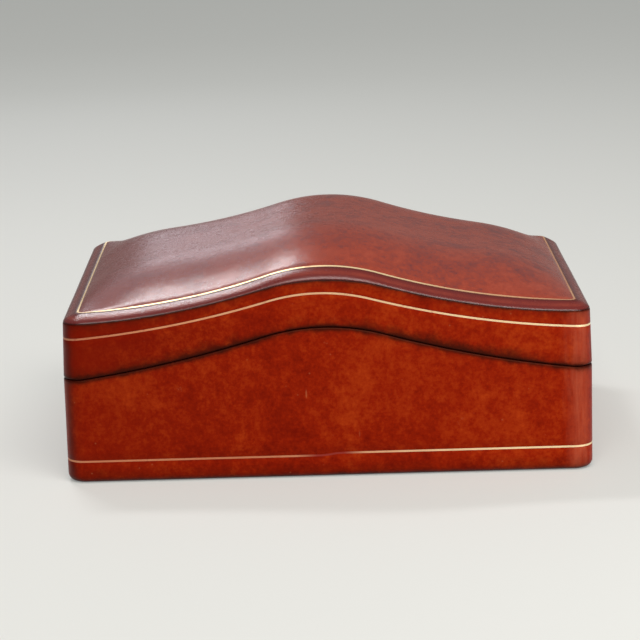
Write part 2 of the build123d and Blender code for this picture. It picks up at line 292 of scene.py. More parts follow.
def crown_height(x, y):
    """Height of the crown above the level of the gilt line, inside that line."""
    s = shape()
    rise = s.crown_rise
    from_end, from_front = top_half_width() - abs(x), HALF_DEPTH - abs(y)
    for inset, reach in ((from_end, s.crown_end_reach), (from_front, s.crown_front_reach)):
        left = share_of(1 - (inset - s.top_gilt) / reach)
        rise *= 1 - left**s.crown_power
    return rise


def seam_height(x, y):
    """Height of the base's rim: the ogee along the front wall, level elsewhere."""
    curve = seam_curve()
    behind_front_wall = INNER_FACE + 2 * MM - HALF_DEPTH
    return curve(x) if y < behind_front_wall else curve(HALF_WIDTH)


def past_core(x, y, half_x=HALF_WIDTH):
    """How far a point of the plan lies past the straight parts of the corners' core, along each axis."""
    corner = shape().corner
    return Vector((x - clamp(x, half_x - corner), y - clamp(y, HALF_DEPTH - corner)))


def outline_normal(x, y):
    """Outward direction at a point of the plan's outline."""
    return past_core(x, y).normalized()


def drawn_in(x, y, out, inset, rounding, half_x=HALF_WIDTH):
    """Where an outline point, which faces out, goes when the outline is drawn in by inset."""
    core_x = clamp(x, half_x - inset - rounding)
    core_y = clamp(y, HALF_DEPTH - inset - rounding)
    if abs(out.x) > LEVEL:
        core_x = math.copysign(half_x - inset - rounding, out.x)
    if abs(out.y) > LEVEL:
        core_y = math.copysign(HALF_DEPTH - inset - rounding, out.y)
    return core_x + out.x * rounding, core_y + out.y * rounding


def plain_rounding(inset):
    """Corner radius of an outline drawn in by inset."""
    least = 0.3 * MM
    return max(shape().corner - inset, least)


# ---- modelling ----
def deselect_all():
    """Nothing selected, in object mode."""
    if bpy.context.object and bpy.context.object.mode == "EDIT":
        bpy.ops.object.mode_set(mode="OBJECT")
    bpy.ops.object.select_all(action="DESELECT")


def activate(piece):
    """Only this piece selected, and active."""
    deselect_all()
    piece.select_set(True)
    bpy.context.view_layer.objects.active = piece


def name_piece(name, piece=None):
    """The piece, or else the active object, takes this name."""
    piece = piece or bpy.context.object
    piece.name = piece.data.name = name
    return piece


def select_where(piece, kind, wanted):
    """In edit mode, selects the vertices (VERT) or edges (EDGE) that pass a test."""
    bpy.ops.mesh.select_mode(type=kind)
    bpy.ops.mesh.select_all(action="DESELECT")
    mesh = bmesh.from_edit_mesh(piece.data)
    for part in mesh.verts if kind == "VERT" else mesh.edges:
        part.select_set(bool(wanted(part)))
    bmesh.update_edit_mesh(piece.data)


def apply_modifier(piece, kind, **settings):
    """Adds one modifier and applies it."""
    activate(piece)
    modifier = piece.modifiers.new(kind.title(), kind)
    for key, value in settings.items():
        setattr(modifier, key, value)
    bpy.ops.object.modifier_apply(modifier=modifier.name)


def smooth(piece):
    """Smooth shading, with sharp edges past 35 degrees."""
    activate(piece)
    bpy.ops.object.shade_smooth_by_angle(angle=math.radians(35))


def outline_ring(name):
    """A flat ring of edges along the box's plan, left in edit mode and selected."""

    def side_along(edge, axis):
        """Whether an edge is a whole side of the plan that keeps its place along the axis."""
        first, second = (vertex.co for vertex in edge.verts)
        return (first - second).length > HALF_DEPTH and abs(first[axis] - second[axis]) < SAME_PLACE

    deselect_all()
    bpy.ops.mesh.primitive_plane_add(size=2.0)
    ring = name_piece(name)
    bpy.ops.object.mode_set(mode="EDIT")
    bpy.ops.mesh.select_all(action="SELECT")
    bpy.ops.transform.resize(value=(HALF_WIDTH, HALF_DEPTH, 1.0))
    bpy.ops.mesh.bevel(offset=shape().corner, segments=CORNERS, affect="VERTICES")
    bpy.ops.mesh.delete(type="ONLY_FACE")
    for axis, cuts in ((1, FRONT_CUTS), (0, SIDE_CUTS)):
        select_where(ring, "EDGE", lambda edge: side_along(edge, axis))
        bpy.ops.mesh.subdivide(number_cuts=cuts)
    bpy.ops.mesh.select_all(action="SELECT")
    return ring


def raise_rings(ring, count):
    """Extrudes the selected loop upwards, one ring to the millimetre, and leaves edit mode."""
    for _ in range(count):
        bpy.ops.mesh.extrude_edges_move(TRANSFORM_OT_translate={"value": (0, 0, MM)})
    bpy.ops.object.mode_set(mode="OBJECT")


def settle_rings(piece, place):
    """Moves each vertex from its level ring to its real place. Place takes x, y and the ring's number."""
    rings = piece.data.attributes.new("ring", "FLOAT", "POINT")
    for vertex in piece.data.vertices:
        x, y, z = vertex.co
        ring = round(z / MM)
        rings.data[vertex.index].value = ring
        vertex.co = place(x, y, ring)
    piece.data.update()


def close_up(piece):
    """Doubles merged and faces turned outwards."""
    activate(piece)
    bpy.ops.object.mode_set(mode="EDIT")
    bpy.ops.mesh.select_all(action="SELECT")
    bpy.ops.mesh.remove_doubles(threshold=SAME_PLACE)
    bpy.ops.mesh.normals_make_consistent(inside=False)
    bpy.ops.object.mode_set(mode="OBJECT")


def grow_skin(ring, stops, place):
    """Turns the selected loop into a skin with one ring of vertices to each stop."""
    raise_rings(ring, len(stops) - 1)
    settle_rings(ring, place)
    close_up(ring)


def split_strip(piece, name, ring):
    """A new piece from a copy of the faces between a ring and the next one."""
    activate(piece)
    before = set(bpy.data.objects)
    bpy.ops.object.mode_set(mode="EDIT")
    bpy.ops.mesh.select_mode(type="FACE")
    bpy.ops.mesh.select_all(action="DESELECT")
    mesh = bmesh.from_edit_mesh(piece.data)
    layer = mesh.verts.layers.float["ring"]
    for face in mesh.faces:
        face.select_set({vertex[layer] for vertex in face.verts} == {ring, ring + 1})
    bmesh.update_edit_mesh(piece.data)
    bpy.ops.mesh.duplicate()
    bpy.ops.mesh.separate(type="SELECTED")
    bpy.ops.object.mode_set(mode="OBJECT")
    strip = name_piece(name, (set(bpy.data.objects) - before).pop())
    apply_modifier(strip, "SOLIDIFY", thickness=shape().gilt_depth * 0.5, offset=1.0)
    smooth(strip)
    return strip


def rounding_stops(radius, steps):
    """(inset, drop) along a quarter round, from the level face out to the upright one."""
    angles = [math.radians(90 * step / steps) for step in range(steps + 1)]
    return [(radius * (1 - math.sin(a)), radius * (1 - math.cos(a))) for a in angles]


def hand_worked(x, y, z, amount):
    """Slight unevenness of leather that was stretched and glued by hand."""
    lumps_per_metre = 22.0
    return amount * noise.noise(Vector((x, y, z)) * lumps_per_metre)


def lean_in(z):
    """How far the lid's ends lean inwards at a height."""
    return (z - SEAM_LEVEL) * math.tan(math.radians(shape().lean))


def softened(node, width, segments=2):
    """A copy of a CAD node with its sharp edges rounded over."""
    flat, sharp = math.radians(0.4), math.radians(40)
    deselect_all()
    source = frame["nodes"][node]
    piece = source.copy()
    piece.data = source.data.copy()
    name_piece(f"{node}_worked", piece)
    bpy.context.scene.collection.objects.link(piece)
    activate(piece)
    bpy.ops.object.mode_set(mode="EDIT")
    bpy.ops.mesh.select_all(action="SELECT")
    bpy.ops.mesh.remove_doubles(threshold=SAME_PLACE)
    bpy.ops.mesh.dissolve_limited(angle_limit=flat)
    bpy.ops.object.mode_set(mode="OBJECT")
    bevel = {"width": width, "segments": segments, "limit_method": "ANGLE", "angle_limit": sharp}
    apply_modifier(piece, "BEVEL", use_clamp_overlap=True, **bevel)
    smooth(piece)
    return piece


def give(piece, body, slot, finish_made, *nodes):
    """The piece rides on a body, takes its finish and stands for the nodes."""
    piece.data.materials.clear()
    piece.data.materials.append(finish_made)
    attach(piece, body)
    if nodes:
        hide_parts(*nodes)


def mark_distances(piece, **measures):
    """Stores float attributes on the vertices, each measured from a vertex's place."""
    for label, measure in measures.items():
        layer = piece.data.attributes.new(label, "FLOAT", "POINT")
        layer.data.foreach_set("value", [measure(*vertex.co) for vertex in piece.data.vertices])


def from_corner(x, y, _z):
    """How far a point lies round from the middle of an upright corner, or far off on a straight side."""
    far_off = 0.1
    out = outline_normal(x, y)
    if abs(out.x) < LEVEL or abs(out.y) < LEVEL:
        return far_off
    return abs(math.atan2(abs(out.y), abs(out.x)) - math.pi / 4) * shape().corner


def thicken(skin, gilt_name, gilt_ring, recessed=None, **measures):
    """
    Gives a skin the thickness of leather and marks its distances. Returns its gilt line, the strip above
    gilt_ring. Recessed is the body whose hinge leaves lie in the leather.
    """
    line = split_strip(skin, gilt_name, gilt_ring)
    apply_modifier(skin, "SOLIDIFY", thickness=shape().shell, offset=-1.0)
    if recessed:
        cut_hinge_recesses(skin, recessed)
    mark_distances(skin, **measures)
    smooth(skin)
    return line


def rising(low, high, amount=1.0):
    """Mask of a finish that rises to an amount between two places along X, in millimetres."""
    return lambda made: made.along("X").rise(low * MM, high * MM) * amount


def falling(low, high, amount=1.0):
    """Mask of a finish that falls from an amount between two such places."""
    return lambda made: made.along("X").fall(low * MM, high * MM) * amount


# ---- finishes ----
class Strand:
    """One socket of a finish. Arithmetic on it adds Math nodes."""

    def __init__(self, made, socket):
        self.made = made
        self.socket = socket

    def math(self, operation, *values, **settings):
        """A Math node on the values, in order."""
        settings = {"operation": operation, **settings}
        return self.made.add("ShaderNodeMath", settings, dict(enumerate(values)))

    def __add__(self, other):
        return self.math("ADD", self, other)

    def __radd__(self, other):
        return self.math("ADD", other, self)

    def __sub__(self, other):
        return self.math("SUBTRACT", self, other)

    def __rsub__(self, other):
        return self.math("SUBTRACT", other, self)

    def __mul__(self, other):
        return self.math("MULTIPLY", self, other)

    def __rmul__(self, other):
        return self.math("MULTIPLY", other, self)

    def size(self):
        """The same without its sign."""
        return self.math("ABSOLUTE", self)

    def clamp(self):
        """The same, kept between 0 and 1."""
        return self.math("ADD", self, 0.0, use_clamp=True)

    def rise(self, low, high):
        """0 below low, 1 above high, and smooth between."""
        sockets = {"Value": self, "From Min": low, "From Max": high}
        return self.made.add("ShaderNodeMapRange", {"interpolation_type": "SMOOTHSTEP"}, sockets)

    def fall(self, low, high):
        """1 below low, 0 above high, and smooth between."""
        return 1.0 - self.rise(low, high)


class Nodes:
    """A node tree under construction."""

    def __init__(self, tree):
        self.tree = tree

    def join(self, socket, value):
        """A socket takes a link or a plain value."""
        if isinstance(value, Strand):
            self.tree.links.new(value.socket, socket)
        elif socket.type == "RGBA" and len(value) == 3:
            socket.default_value = (*value, 1.0)
        else:
            socket.default_value = value

    def add(self, kind, settings, sockets, output=0):
        """Any node: its settings first, then its sockets."""
        node = self.tree.nodes.new(kind)
        for key, value in settings.items():
            if key == "stops":
                while len(node.color_ramp.elements) < len(value):
                    node.color_ramp.elements.new(0.5)
                for stop, (position, shade) in zip(node.color_ramp.elements, value):
                    stop.position = position
                    stop.color = (*shade, 1.0)
            else:
                setattr(node, key, value)
        for key, value in sockets.items():
            self.join(node.inputs[key], value)
        return Strand(self, node.outputs[output])

    def blend(self, share, first, second):
        """Two colours mixed by a share. A Mix node's colour sockets have these numbers."""
        sockets = {0: share, 6: first, 7: second}
        return self.add("ShaderNodeMix", {"data_type": "RGBA"}, sockets, 2)


class Finish(Nodes):
    """A material under construction."""

    def __init__(self, name):
        self.material = bpy.data.materials.new(name)
        self.material.use_nodes = True
        super().__init__(self.material.node_tree)
        self.tree.nodes.clear()
        self.shader = self.tree.nodes.new("ShaderNodeBsdfPrincipled")
        output = self.tree.nodes.new("ShaderNodeOutputMaterial")
        self.tree.links.new(self.shader.outputs[0], output.inputs["Surface"])
        self.place = self.add("ShaderNodeTexCoord", {}, {}, "Object")

    def finished(self, **sockets):
        """The material, once the shader's own sockets are set. Underscores stand for spaces."""
        for key, value in sockets.items():
            self.join(self.shader.inputs[key.replace("_", " ")], value)
        return self.material

    def texture(self, kind, scale, sockets, output=0):
        """A texture node over the place. Its scale is one number, or one for each axis."""
        where = {"Vector": self.place, "Scale": scale}
        if isinstance(scale, tuple):
            where = {"Vector": self.add("ShaderNodeMapping", {}, where), "Scale": 1.0}
        return self.add(kind, {}, {**where, **sockets}, output)

    def cloud(self, scale, detail=3.0, roughness=0.55, distortion=0.0):
        """Noise from 0 to 1."""
        sockets = {"Detail": detail, "Roughness": roughness, "Distortion": distortion}
        return self.texture("ShaderNodeTexNoise", scale, sockets)

    def cells(self, scale):
        """Distance from the middles of scattered cells."""
        return self.texture("ShaderNodeTexVoronoi", scale, {}, "Distance")

    def ramp(self, value, *stops):
        """Colours along a value. Each stop is a position and a colour."""
        return self.add("ShaderNodeValToRGB", {"stops": stops}, {"Fac": value})

    def along(self, axis):
        """One object coordinate, in metres."""
        return self.add("ShaderNodeSeparateXYZ", {}, {"Vector": self.place}, axis)

    def attribute(self, label):
        """A float attribute of the piece."""
        return self.add("ShaderNodeAttribute", {"attribute_name": label}, {}, "Fac")

    def bump(self, height, distance, strength=1.0, under=None):
        """A bumped normal, from a height in the range of distance."""
        sockets = {"Height": height, "Distance": distance, "Strength": strength}
        if under:
            sockets["Normal"] = under
        return self.add("ShaderNodeBump", {}, sockets)


def toned(shade, *factors):
    """A colour made lighter or darker, by one factor or by one for each of red, green and blue."""
    factors = factors if len(factors) > 1 else factors * 3
    return [channel * factor for channel, factor in zip(shade, factors)]


def calf(made, light, body, dark):
    """Tone and colour of hand-stained calf: clouds, mottling, fleck, grain and the drag of the dauber."""
    clouds = made.cloud(13.0, 3.0, 0.55, 0.5)
    mottle = made.cloud(62.0, 5.0, 0.62, 0.5)
    fleck = made.cloud(190.0, 4.0, 0.68)
    drag = made.cloud((70.0, 70.0, 13.0), 3.0)
    grain = made.cloud(520.0, 4.0, 0.7)
    tone = clouds * 0.22 + mottle * 0.22 + fleck * 0.24 + drag * 0.10 + grain * 0.22
    return tone, made.ramp(tone, (0.40, dark), (0.50, body), (0.62, light))


def calf_relief(made, undulation=0.10, grain=0.02):
    """Normal of smooth calf: grain, given in millimetres, and fine pores over a slightly uneven body."""
    body = made.bump(made.cloud(38.0), undulation * 10 * MM, 0.35)
    body = made.bump(made.cloud(1000.0, 3.0, 0.65), grain * MM, 1.0, body)
    pores = made.cells(2400.0)
    creases = made.cloud(700.0, 4.0, 0.7)
    return made.bump(pores * 0.6 + creases * 0.4, 0.03 * MM, 0.7, body)


def specks(made):
    """Mask of small rubs and pale nicks, in a few places."""
    where = made.cloud(19.0, 1.0).rise(0.55, 0.66)
    rubs = made.cloud(150.0, 6.0, 0.75, 0.3).rise(0.64, 0.74)
    nicks = made.cells(100.0).fall(0.03, 0.07)
    scratches = made.cells((60.0, 60.0, 12.0)).fall(0.015, 0.04)
    return (rubs * where * 0.8 + nicks * 0.4 + scratches * 0.6).clamp()


def burnished_and_shaded(made, shade, label, reach, strength, where=1.0):
    """Darkened leather within reach of the place that an attribute measures from, with a ragged border. It
    serves for real burnishing and for painted shade alike.
    """
    uneven = made.cloud(110.0, 4.0, 0.65)
    near = (made.attribute(label) + (uneven - 0.5) * (reach * 1.3)).fall(0.0, reach)
    return made.blend((near * where * strength).clamp(), shade, finish().burnish_and_shade)


def chestnut_leather(name, left_shading, zones):
    """
    Wall leather, darker towards the left as painted shade and paler at the right corner as a painted
    reflection. Each zone of burnishing and painted shade is an attribute with its reach in millimetres, its
    strength and, if it has one, a mask.
    """
    made = Finish(name)
    f = finish()
    tone, shade = calf(made, f.chestnut_light, f.chestnut, f.chestnut_dark)
    # Painted shade: the leather darkens towards the left, the side that the light falls on least.
    shaded_left = (made.along("X") + (tone - 0.5) * 0.3).fall(-130 * MM, -10 * MM)
    shade = made.blend(shaded_left * left_shading, shade, f.chestnut_dark)
    # Painted reflection: a pale streaked sheen down the right corners, where the leather mirrors the bright
    # table.
    streaks = made.cloud((240.0, 240.0, 26.0), 4.0, 0.65)
    across = made.along("X") + (streaks - 0.5) * (12 * MM)
    painted_corner_sheen = across.rise(130 * MM, 143 * MM) * across.fall(145 * MM, 147.5 * MM)
    shade = made.blend(painted_corner_sheen * (streaks * 1.1 - 0.1).clamp(), shade, f.chestnut_sheen)
    for label, reach, strength, *mask in zones:
        where = mask[0](made) if mask else 1.0
        shade = burnished_and_shaded(made, shade, label, reach * MM, strength, where)
    worn = specks(made)
    return made.finished(
        Base_Color=made.blend(worn * 0.38, shade, f.chestnut_scuff),
        Roughness=0.34 + (1.0 - tone) * 0.12 + worn * 0.2,
        Normal=calf_relief(made),
        Specular_IOR_Level=0.17,
        Specular_Tint=(1.0, 0.40, 0.20, 1.0),
    )


def oxblood_leather():
    """Top leather: darker and bluer towards the left as painted shade, and plain redder oxblood over the
    crest and to the right. Its rolled edge has painted shade and a painted highlight, and painted shadow
    lies beside its gilt groove.
    """
    made = Finish("top_oxblood")
    f = finish()
    tone, shade = calf(made, f.oxblood_light, f.oxblood, f.oxblood_dark)
    # Painted shade: the top darkens towards the left, where its flank turns from the light.
    shaded_left = (made.along("X") + (made.cloud(9.0, 2.0) - 0.5) * 0.12).fall(-130 * MM, 30 * MM)
    shade = made.blend(shaded_left * 0.7, shade, f.oxblood_dark)
    edge = made.attribute("from_edge")
    # Painted shade: the rolled edge outside the gilt line is darkened.
    rolled = edge.fall(6.5 * MM, 8.5 * MM)
    shade = made.blend(rolled * 0.9, shade, f.oxblood_edge)
    # Painted highlight: a pale band along the crest of the rolled edge, where the front light would glint.
    painted_roll_highlight = edge.rise(1.6 * MM, 3.0 * MM) * edge.fall(3.8 * MM, 5.6 * MM)
    shade = made.blend((painted_roll_highlight * (tone * 1.6 - 0.6)).clamp(), shade, f.oxblood_light)
    # Painted shadow: a dark line just outside the gilt line, as the shade of its tooled groove.
    groove_shadow = edge.rise(5.8 * MM, 7.0 * MM) * edge.fall(8.0 * MM, 8.4 * MM)
    shade = made.blend(groove_shadow * 0.5, shade, f.burnish_and_shade)
    # Darker along the lower edge of the top leather: burnishing, with painted shadow where the edge laps
    # over the wall.
    shade = burnished_and_shaded(made, shade, "from_lap", 1.1 * MM, 0.9)
    worn = specks(made)
    return made.finished(
        Base_Color=made.blend(worn * 0.14, shade, f.oxblood_scuff),
        Roughness=0.16 + (1.0 - tone) * 0.22 + worn * 0.04,
        Normal=calf_relief(made, 0.13, 0.10),
        Specular_IOR_Level=0.5,
    )


def gilt(name, bare_at, bright_at):
    """Gold leaf pressed into a tooled line. Two masks say where it is worn away and where its gold is
    brighter; on the top that brighter gold is a painted highlight.
    """
    made = Finish(name)
    f = finish()
    thin = made.cloud(210.0, 4.0, 0.7).rise(0.55, 0.74)
    bare = (thin * 0.4 + bare_at(made)).clamp()
    brighter = (bright_at(made) + (made.cloud(60.0) - 0.5) * 0.6).clamp()
    leaf = made.blend(brighter, f.old_gold, f.gold)
    return made.finished(
        Base_Color=made.blend(bare, leaf, f.chestnut),
        Metallic=0.55 - bare * 0.55,
        Roughness=0.42 + bare * 0.1,
        Normal=made.bump(made.cloud(800.0), 0.03 * MM, 0.6),
    )


def suede_cloth():
    """Suede lining with a brushed nap."""
    made = Finish("suede")
    f = finish()
    nap = made.cloud(34.0, 3.0, 0.6, 0.2)
    fibre = made.cloud(1800.0, 3.0, 0.7)
    shade = made.ramp(nap * 0.7 + fibre * 0.3, (0.36, toned(f.suede, 0.8)), (0.62, f.suede))
    return made.finished(
        Base_Color=shade,
        Roughness=0.92,
        Sheen_Weight=0.3,
        Sheen_Roughness=0.4,
        Specular_IOR_Level=0.15,
        Normal=made.bump(fibre, 0.12 * MM, 0.7),
    )


def felt_cloth():
    """Pressed wool felt."""
    made = Finish("felt")
    f = finish()
    fibre = made.cloud(1200.0, 4.0, 0.75, 2.0)
    tufts = made.cloud(140.0, 3.0)
    return made.finished(
        Base_Color=made.ramp(fibre * 0.6 + tufts * 0.4, (0.40, f.felt), (0.66, toned(f.felt, 1.7))),
        Roughness=0.97,
        Specular_IOR_Level=0.1,
        Normal=made.bump(fibre, 0.2 * MM, 0.8),
    )


def rubbed_brass():
    """Satin brass with fine drawn lines and a little tarnish."""
    made = Finish("brass")
    f = finish()
    lines = made.cloud((60.0, 3000.0, 3000.0), 2.0)
    tarnish = made.cloud(260.0, 4.0, 0.7).rise(0.50, 0.72)
    dull = toned(f.brass, 0.55, 0.50, 0.42)
    return made.finished(
        Base_Color=made.blend(tarnish * 0.6, f.brass, dull),
        Metallic=1.0,
        Roughness=0.26 + lines * 0.12 + tarnish * 0.15,
        Normal=made.bump(lines, 0.01 * MM, 0.5),
    )


def planed_wood():
    """Straight-grained lime wood."""
    made = Finish("lime_wood")
    f = finish()
    grain = made.cloud((8.0, 160.0, 160.0), 5.0, 0.6, 0.4)
    pores = made.cloud((60.0, 1800.0, 1800.0), 2.0)
    return made.finished(
        Base_Color=made.ramp(grain * 0.75 + pores * 0.25, (0.38, toned(f.wood, 0.7)), (0.60, f.wood)),
        Roughness=0.6 + pores * 0.15,
        Normal=made.bump(pores, 0.05 * MM, 0.5),
    )


# ---- the pieces ----
def groove(share, offset):
    """Ring stops of the groove for a gilt line whose lower edge is at share and offset."""
    s = shape()
    return [
        (0.0, share, offset - LIP),
        (s.gilt_depth, share, offset),
        (s.gilt_depth, share, offset + s.gilt_width),
        (0.0, share, offset + s.gilt_width + LIP),
    ]


def wall_rings(count, line, low, high):
    """Ring stops up a wall, from low above one line that the rings follow to high below the next."""
    shares = [step / count for step in range(1, count)]
    return [(0.0, line + share, (1 - share) * low - share * high) for share in shares]


def turned_rim(line, up):
    """Ring stops over a rim, from outside in. Up is 1 if the wall stands above its rim, and -1 if below."""
    rounding = rounding_stops(shape().rim_round, 4)
    stops = [(0.0, line, up * far) for far in RIM_RINGS]
    stops += [(inset, line, up * drop) for inset, drop in reversed(rounding)]
    stops += [(inset * MM, line, 0.0) for inset in (3.0, 6.0)]
    stops += [(INNER_FACE - inset, line, up * drop) for inset, drop in rounding]
    return [*stops, (INNER_FACE, line, up * 2.0 * MM)]


def cut_hinge_recesses(piece, body):
    """Cuts the places of the hinge leaves and barrels out of a jacket, and on past its back."""
    leaf_thickness, gap, behind = 1.5 * MM, 0.15 * MM, 4 * MM
    rim = SEAM_LEVEL - shape().seam_gap / 2
    deep = leaf_thickness + gap
    for side in ("left", "right"):
        low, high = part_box(f"hinge_{side}_{body}_leaf")
        deselect_all()
        middle = Vector(((low.x + high.x) / 2, (low.y + high.y) / 2 + behind / 2, rim))
        bpy.ops.mesh.primitive_cube_add(size=1.0, location=middle)
        cutter = name_piece("recess_cutter")
        cutter.scale = (high.x - low.x + 2 * gap, high.y - low.y + behind + 2 * gap, 2 * deep)
        bpy.ops.object.transform_apply(location=True, rotation=False, scale=True)
        apply_modifier(piece, "BOOLEAN", operation="DIFFERENCE", object=cutter, solver="EXACT")
        bpy.data.objects.remove(cutter)


class STATIONERY_OT_base_jacket(bpy.types.Operator):
    """Leather of the base, turned over its rim and in under its foot, with its gilt line."""

    bl_idname = "stationery.base_jacket"
    bl_label = "Base jacket"

    def execute(self, context):
        s = shape()
        gilt_at = s.base_gilt - FOOT
        foot = [(inset, 0.0, drop) for inset, drop in rounding_stops(s.foot_round, 6)]
        # Each stop is an inset, a share of the way from the foot to the rim, and an offset in height.
        stops = [(s.turn_in, 0.0, 0.0), (9.0 * MM, 0.0, 0.0), *foot, (0.0, 0.0, 8.0 * MM)]
        first_groove = len(stops)
        stops += groove(0.0, gilt_at) + wall_rings(8, 0.0, gilt_at + s.gilt_width, RIM_RINGS[0])
        stops += turned_rim(1.0, -1)

        def stroke(x, y):
            """Rise of the gilt line, whose two strokes miss each other near the middle of the front."""
            right = share_of((x + 3 * MM) / (8 * MM))  # where one stroke gives way to the other
            return s.base_gilt_step * (right - 0.5) * share_of(-y / HALF_DEPTH)

        def place(x, y, ring):
            """Where a vertex of a ring goes."""
            inset, share, offset = stops[ring]
            out = outline_normal(x, y)
            new_x, new_y = drawn_in(x, y, out, inset, plain_rounding(inset))
            z = FOOT + share * (seam_height(new_x, new_y) - FOOT) + offset
            if ring >= first_groove:
                z += stroke(x, y) * (1 - share)
            swell = hand_worked(new_x, new_y, z, HAND) if inset < s.foot_round else 0.0
            return new_x + out.x * (swell - HAND), new_y + out.y * (swell - HAND), z

        jacket = outline_ring("base_jacket")
        grow_skin(jacket, stops, place)
        line = thicken(
            jacket, "base_gilt_line", first_groove + 1, "base",
            from_seam=lambda x, y, z: seam_height(x, y) - z,
            from_foot=lambda x, y, z: z - FOOT,
            from_corner=from_corner,
        )
        # Darkened zones: painted shade round the left corners; burnishing at the foot, with painted shade
        # darker towards the bottom under its rounding; burnishing at the seam, with painted shade of its
        # gap.
        zones = [
            ("from_corner", 5, 0.45, falling(-100, 0)),
            ("from_foot", 10, 0.42),
            ("from_foot", 3, 0.95),
            ("from_seam", 5.5, 0.30),
            ("from_seam", 3, 1.0),
        ]
        leather = chestnut_leather("base_chestnut", 0.35, zones)
        give(jacket, "base", "leather_chestnut", leather, "base_leather")

        def bare(made):
            """Where the two strokes stop, and a little all along the left one."""
            gap = (made.along("X") - 1.5 * MM).size().fall(4 * MM, 24 * MM)
            return gap + falling(-30, 20, 0.25)(made)

        give(line, "base", "brass", gilt("base_gilt", bare, rising(-40, 130)))
        return {"FINISHED"}


class STATIONERY_OT_lid_jacket(bpy.types.Operator):
    """Leather of the lid's walls, turned over the rim, with its gilt line."""

    bl_idname = "stationery.lid_jacket"
    bl_label = "Lid jacket"

    def execute(self, context):
        s = shape()
        top, line_curve = top_curve(), gilt_curve()
        # Each stop is an inset, a place (0 rim, 1 gilt line, 2 top edge) and an offset in height.
        stops = turned_rim(0.0, 1)[::-1] + wall_rings(5, 0.0, RIM_RINGS[0], 2.0 * MM)
        gilt_ring = len(stops) + 1
        stops += groove(1.0, 0.0) + wall_rings(6, 1.0, s.gilt_width, 0.8 * MM)
        for inset, below in ((0.0, 0.9), (0.1, 0.5), (0.4, 0.2), (0.9, 0.1)):
            stops.append((inset * MM, 2.0, -below * MM))

        def levels(x, y):
            """The three lines that the rings follow: rim, gilt line and top edge."""
            rim_z = seam_height(x, y) + s.seam_gap
            return rim_z, drawn_height(x, y, line_curve), drawn_height(x, y, top) - edge_fall(x, y)

        def place(x, y, ring):
            """Where a vertex of a ring goes."""
            inset, share, offset = stops[ring]
            out = outline_normal(x, y)
            new_x, new_y = drawn_in(x, y, out, inset, plain_rounding(inset))
            low, middle, high = levels(new_x, new_y)
            line_z = low + share * (middle - low) if share <= 1 else middle + (share - 1) * (high - middle)
            z = offset + line_z
            outside = inset < 2 * MM  # the wall's outer face and not its turned rim
            swell = hand_worked(new_x, new_y, z, HAND) - HAND if outside else 0.0
            new_x += out.x * (swell - (lean_in(z) if outside else 0.0))
            new_y += out.y * swell
            return new_x, new_y, z

        jacket = outline_ring("lid_jacket")
        grow_skin(jacket, stops, place)
        line = thicken(
            jacket, "lid_gilt_line", gilt_ring, "lid",
            from_seam=lambda x, y, z: z - seam_height(x, y) - s.seam_gap,
            from_edge=lambda x, y, z: drawn_height(x, y, top) - edge_fall(x, y) - z,
            from_corner=from_corner,
        )

        def smoked(made):
            """Where the seam was worked hardest with the burnisher: right of the crest, and a little at the
            left.
            """
            right = rising(5, 45)(made) * falling(90, 135)(made)
            left = falling(-50, -30)(made) * rising(-120, -80)(made)
            return right + left * 0.45

        # Darkened zones: painted shade round the left corners; smoked darkening by the seam; burnishing
        # under the top's edge, with painted shadow of its overhang; burnishing at the seam, with painted
        # shade of its gap, wider at the left.
        zones = [
            ("from_corner", 5, 0.45, falling(-100, 0)),
            ("from_seam", 8, 0.85, smoked),
            ("from_edge", 6, 0.35),
            ("from_seam", 9, 0.35),
            ("from_seam", 4.2, 0.85, falling(-100, 0)),
            ("from_seam", 3, 1.0),
            ("from_edge", 1.7, 0.95),
        ]
        leather = chestnut_leather("lid_chestnut", 0.85, zones)
        give(jacket, "lid", "leather_chestnut", leather, "lid_leather")
        give(line, "lid", "brass", gilt("lid_gilt", falling(-160, -80, 0.5), rising(-130, 150)))
        return {"FINISHED"}


